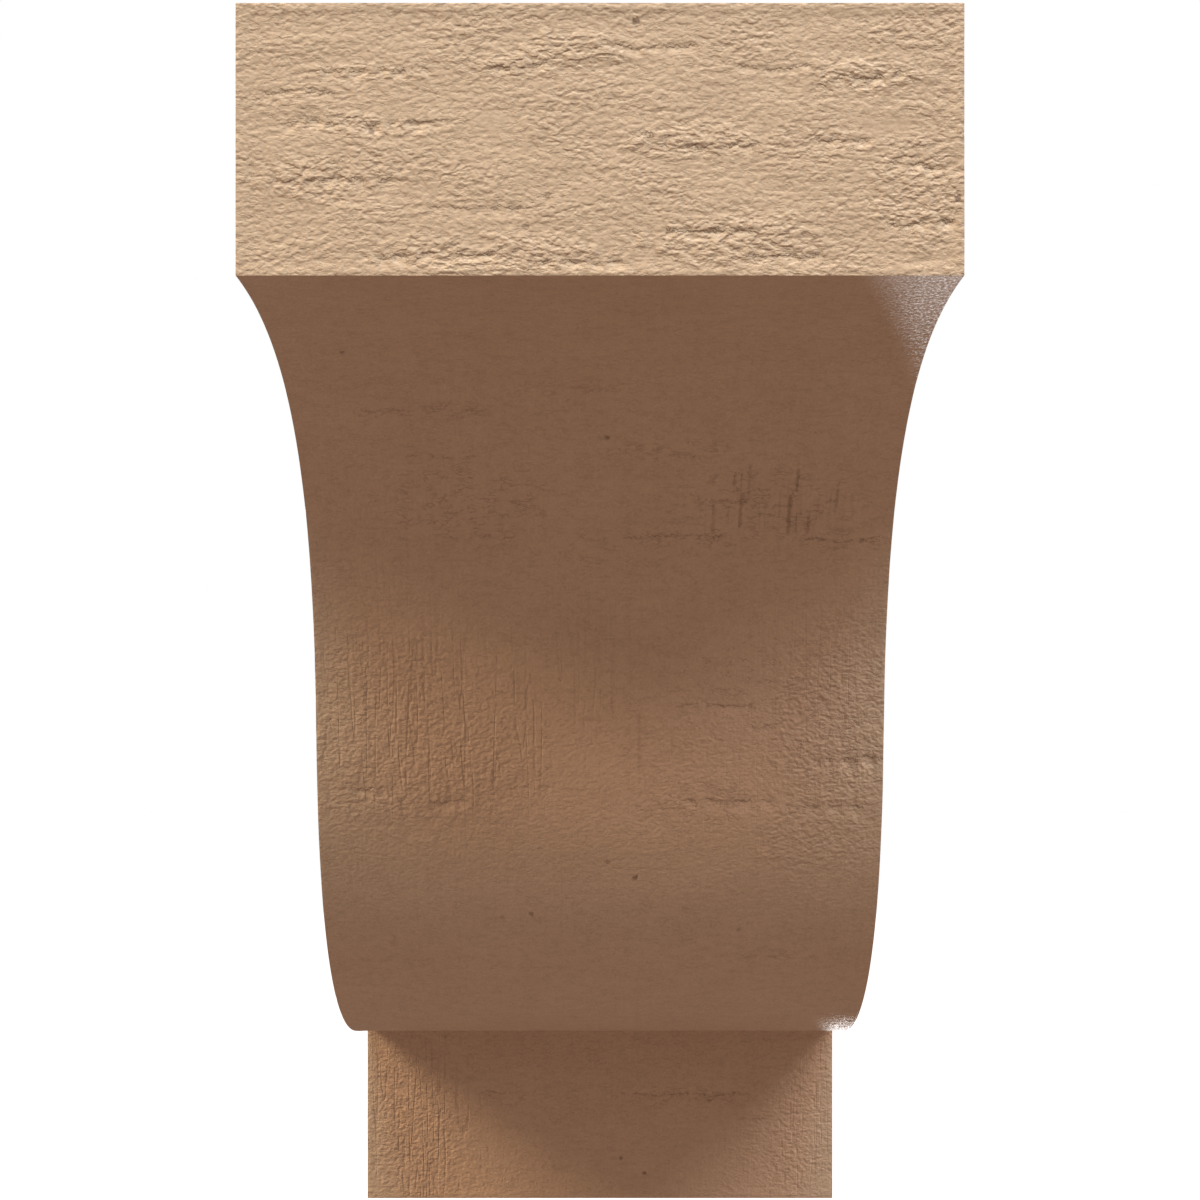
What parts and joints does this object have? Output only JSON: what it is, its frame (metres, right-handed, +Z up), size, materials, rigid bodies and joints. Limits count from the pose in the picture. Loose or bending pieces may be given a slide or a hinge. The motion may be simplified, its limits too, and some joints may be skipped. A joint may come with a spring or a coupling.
{
  "type": "urethane corbel",
  "caption": "Wall corbel with an S-curved front between a deep top block and a shallow foot block, moulded with a rough-sawn timber surface.",
  "frame": {"origin": "centre of the flat back face, which goes against the wall", "axes": "+Y points into the wall, so the front looks towards -Y; +Z is up; +X is to the right, seen from in front"},
  "size_m": [0.1016, 0.1524, 0.2032],
  "materials": {
    "moulded_timber_skin": "matte"
  },
  "bodies": {
    "root": {"corbel": "moulded_timber_skin"}
  },
  "joints": []
}
